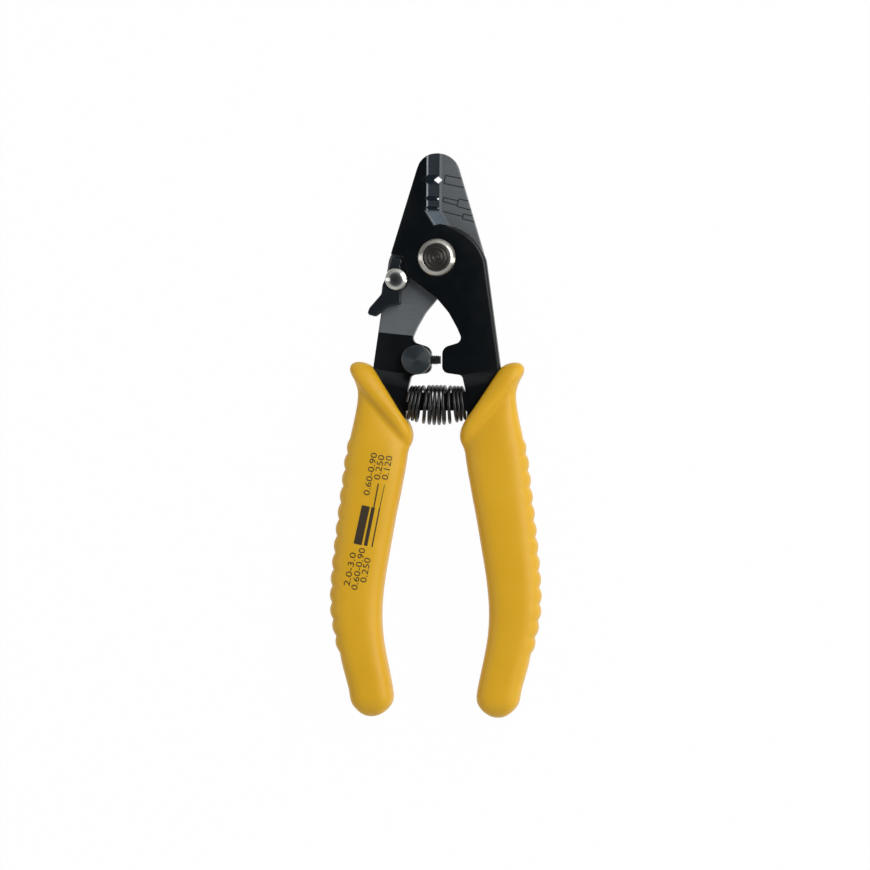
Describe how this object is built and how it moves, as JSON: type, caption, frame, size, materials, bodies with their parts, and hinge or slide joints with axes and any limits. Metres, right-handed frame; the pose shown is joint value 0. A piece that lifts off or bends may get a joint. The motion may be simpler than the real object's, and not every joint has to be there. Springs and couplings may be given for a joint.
{
  "type": "fibre stripper",
  "caption": "Plier-type fibre optic stripper: two crossed notched plates on one bolt, a lock lever, an adjustable stop, a return spring and moulded grips.",
  "frame": {"origin": "on the pivot bolt's axis, at the plane that the tool lies on", "axes": "+Y from the handles to the nose, +X to the right seen from the front, +Z out of the front face"},
  "size_m": [0.0574, 0.1522, 0.012],
  "materials": {
    "black_plate": "black oxide on blanked steel, satin",
    "ground_plate": "ground face, black oxide edges",
    "turned_dark": "turned steel, dark, with fine rings",
    "polished": "polished",
    "black_steel": "black oxide, satin",
    "spring_wire": "oil-tempered spring wire",
    "yellow_grip": "moulded, satin"
  },
  "bodies": {
    "rear_half": {"rear_lever": "ground_plate", "left_grip": "yellow_grip", "pivot_bolt": "turned_dark", "pivot_collar": "polished", "pivot_nut": "black_steel", "lock_rivet": "polished", "stop_post": "black_steel", "return_spring": "spring_wire"},
    "front_half": {"front_lever": "black_plate", "right_grip": "yellow_grip"},
    "lock": {"lock_lever": "black_steel"},
    "stop": {"stop_screw": "black_steel"}
  },
  "joints": [
    {"name": "handle_hinge", "type": "hinge", "parent": "rear_half", "child": "front_half", "pos_m": [0, 0, 0.006], "axis": [0, 0, 1], "range_deg": [0, 12], "deforming": ["return_spring"]},
    {"name": "lock_swing", "type": "hinge", "parent": "rear_half", "child": "lock", "pos_m": [-0.01093, -0.00593, 0.006], "axis": [0, 0, 1], "range_deg": [0, 60]},
    {"name": "stop_feed", "type": "slide", "parent": "rear_half", "child": "stop", "axis": [1, 0, 0], "range_m": [-0.002, 0.0004]}
  ],
  "couplings": [
    {"joint": "lock_swing", "follows": "handle_hinge", "ratio": 5}
  ]
}
